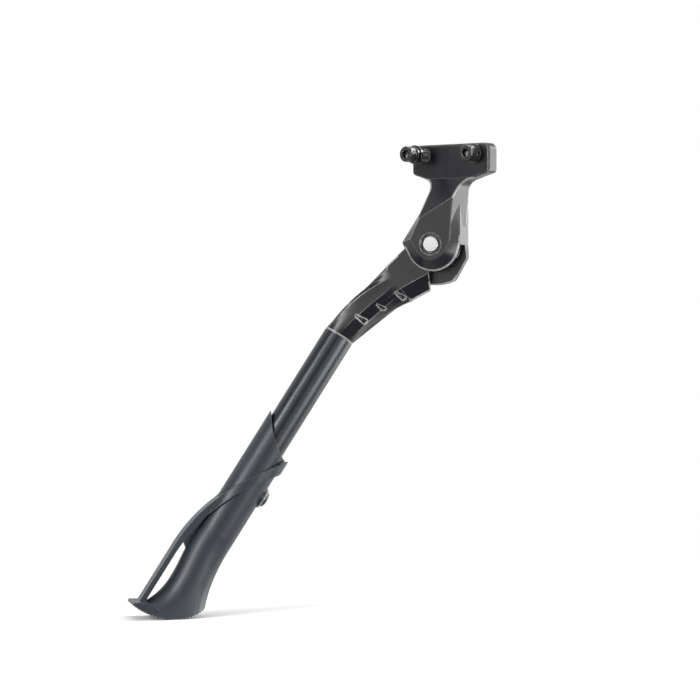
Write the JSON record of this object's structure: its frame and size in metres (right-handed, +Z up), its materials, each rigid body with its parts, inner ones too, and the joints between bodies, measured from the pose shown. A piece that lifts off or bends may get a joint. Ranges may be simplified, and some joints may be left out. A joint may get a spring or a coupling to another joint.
{
  "type": "bicycle kickstand",
  "caption": "Rear-mount bicycle kickstand: a forked bracket with a pivoting angled leg, a round tube and a sliding plastic foot with a kick loop and treaded sole.",
  "frame": {"origin": "midway between the two screw axes, on the plate face that meets the bicycle frame", "axes": "+X backward along the plate, +Y inward to the bicycle, +Z up"},
  "size_m": [0.1946, 0.1575, 0.3011],
  "materials": {
    "black_casting": "satin black paint",
    "black_screw": "glossy black oxide",
    "bright_pin": "bright ground end",
    "plain_steel": "plain",
    "bearing": "plain",
    "black_tube": "satin black anodised",
    "foot_plastic": "matte dark grey moulding"
  },
  "bodies": {
    "bracket": {"mounting_bracket": "black_casting", "front_flat_washer": "black_screw", "front_spring_washer": "black_screw", "front_mounting_screw": "black_screw", "rear_flat_washer": "black_screw", "rear_spring_washer": "black_screw", "rear_mounting_screw": "black_screw", "pivot_pin": "bright_pin", "outer_thrust_washer": "bearing", "inner_thrust_washer": "bearing", "detent_spring": "plain_steel"},
    "detent": {"detent_plunger": "plain_steel"},
    "leg": {"leg_arm": "black_casting", "leg_tube": "black_tube"},
    "foot": {"foot": "foot_plastic", "length_lock_screw": "black_screw", "lock_screw_insert": "bearing"}
  },
  "joints": [
    {"name": "leg_pivot", "type": "hinge", "parent": "bracket", "child": "leg", "pos_m": [-0.00925, -0.01293, -0.057], "axis": [0.4226, -0.9063, 0], "range_deg": [0, 97]},
    {"name": "foot_slide", "type": "slide", "parent": "leg", "child": "foot", "axis": [-0.3262, -0.4284, -0.8426], "range_m": [-0.022, 0.015]},
    {"name": "detent_press", "type": "slide", "parent": "bracket", "child": "detent", "axis": [-0.2346, -0.1094, -0.9659], "range_m": [0, 0.0012], "stiffness_N_per_m": 1500, "springref_m": 0.0012}
  ]
}
